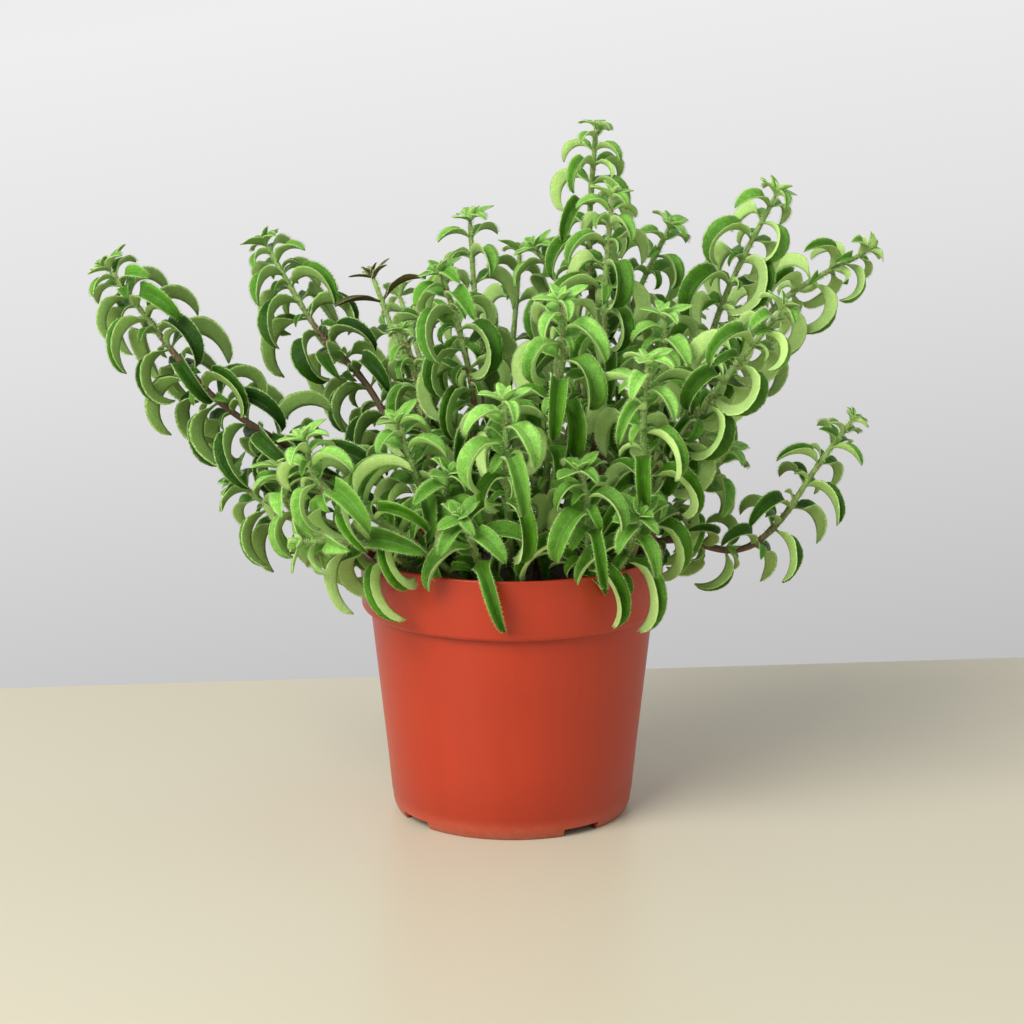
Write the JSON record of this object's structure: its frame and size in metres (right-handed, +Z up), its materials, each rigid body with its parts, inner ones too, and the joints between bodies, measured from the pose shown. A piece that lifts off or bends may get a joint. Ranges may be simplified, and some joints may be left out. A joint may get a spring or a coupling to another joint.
{
  "type": "potted curly lipstick plant",
  "caption": "Leafy trailing plant with curled fleshy leaves on upright and spreading stems, in a round tapered plastic nursery pot with a rim band.",
  "frame": {"origin": "centre of the bottom face of the box that holds the pot and the whole plant, on the ground that the pot stands on", "axes": "+Z up, -Y toward the front of the plant, +X to its right, which is the plant's longest extent"},
  "size_m": [0.3956, 0.2452, 0.3448],
  "materials": {
    "pot_plastic": "satin",
    "soil": "matte",
    "foliage": "satin"
  },
  "bodies": {
    "root": {"pot": "pot_plastic", "soil": "soil", "leafy_stem_01": "foliage", "leafy_stem_02": "foliage", "leafy_stem_03": "foliage", "leafy_stem_04": "foliage", "leafy_stem_05": "foliage", "leafy_stem_06": "foliage", "leafy_stem_07": "foliage", "leafy_stem_08": "foliage", "leafy_stem_09": "foliage", "leafy_stem_10": "foliage", "leafy_stem_11": "foliage", "leafy_stem_12": "foliage", "leafy_stem_13": "foliage", "leafy_stem_14": "foliage", "leafy_stem_15": "foliage", "leafy_stem_16": "foliage", "leafy_stem_17": "foliage", "leafy_stem_18": "foliage", "leafy_stem_19": "foliage", "leafy_stem_20": "foliage", "leafy_stem_21": "foliage", "leafy_stem_22": "foliage", "leafy_stem_23": "foliage", "leafy_stem_24": "foliage", "leafy_stem_25": "foliage", "leafy_stem_26": "foliage", "leafy_stem_27": "foliage", "leafy_stem_28": "foliage", "leafy_stem_29": "foliage", "leafy_stem_30": "foliage", "leafy_stem_31": "foliage", "leafy_stem_32": "foliage", "leafy_stem_33": "foliage"}
  },
  "joints": []
}
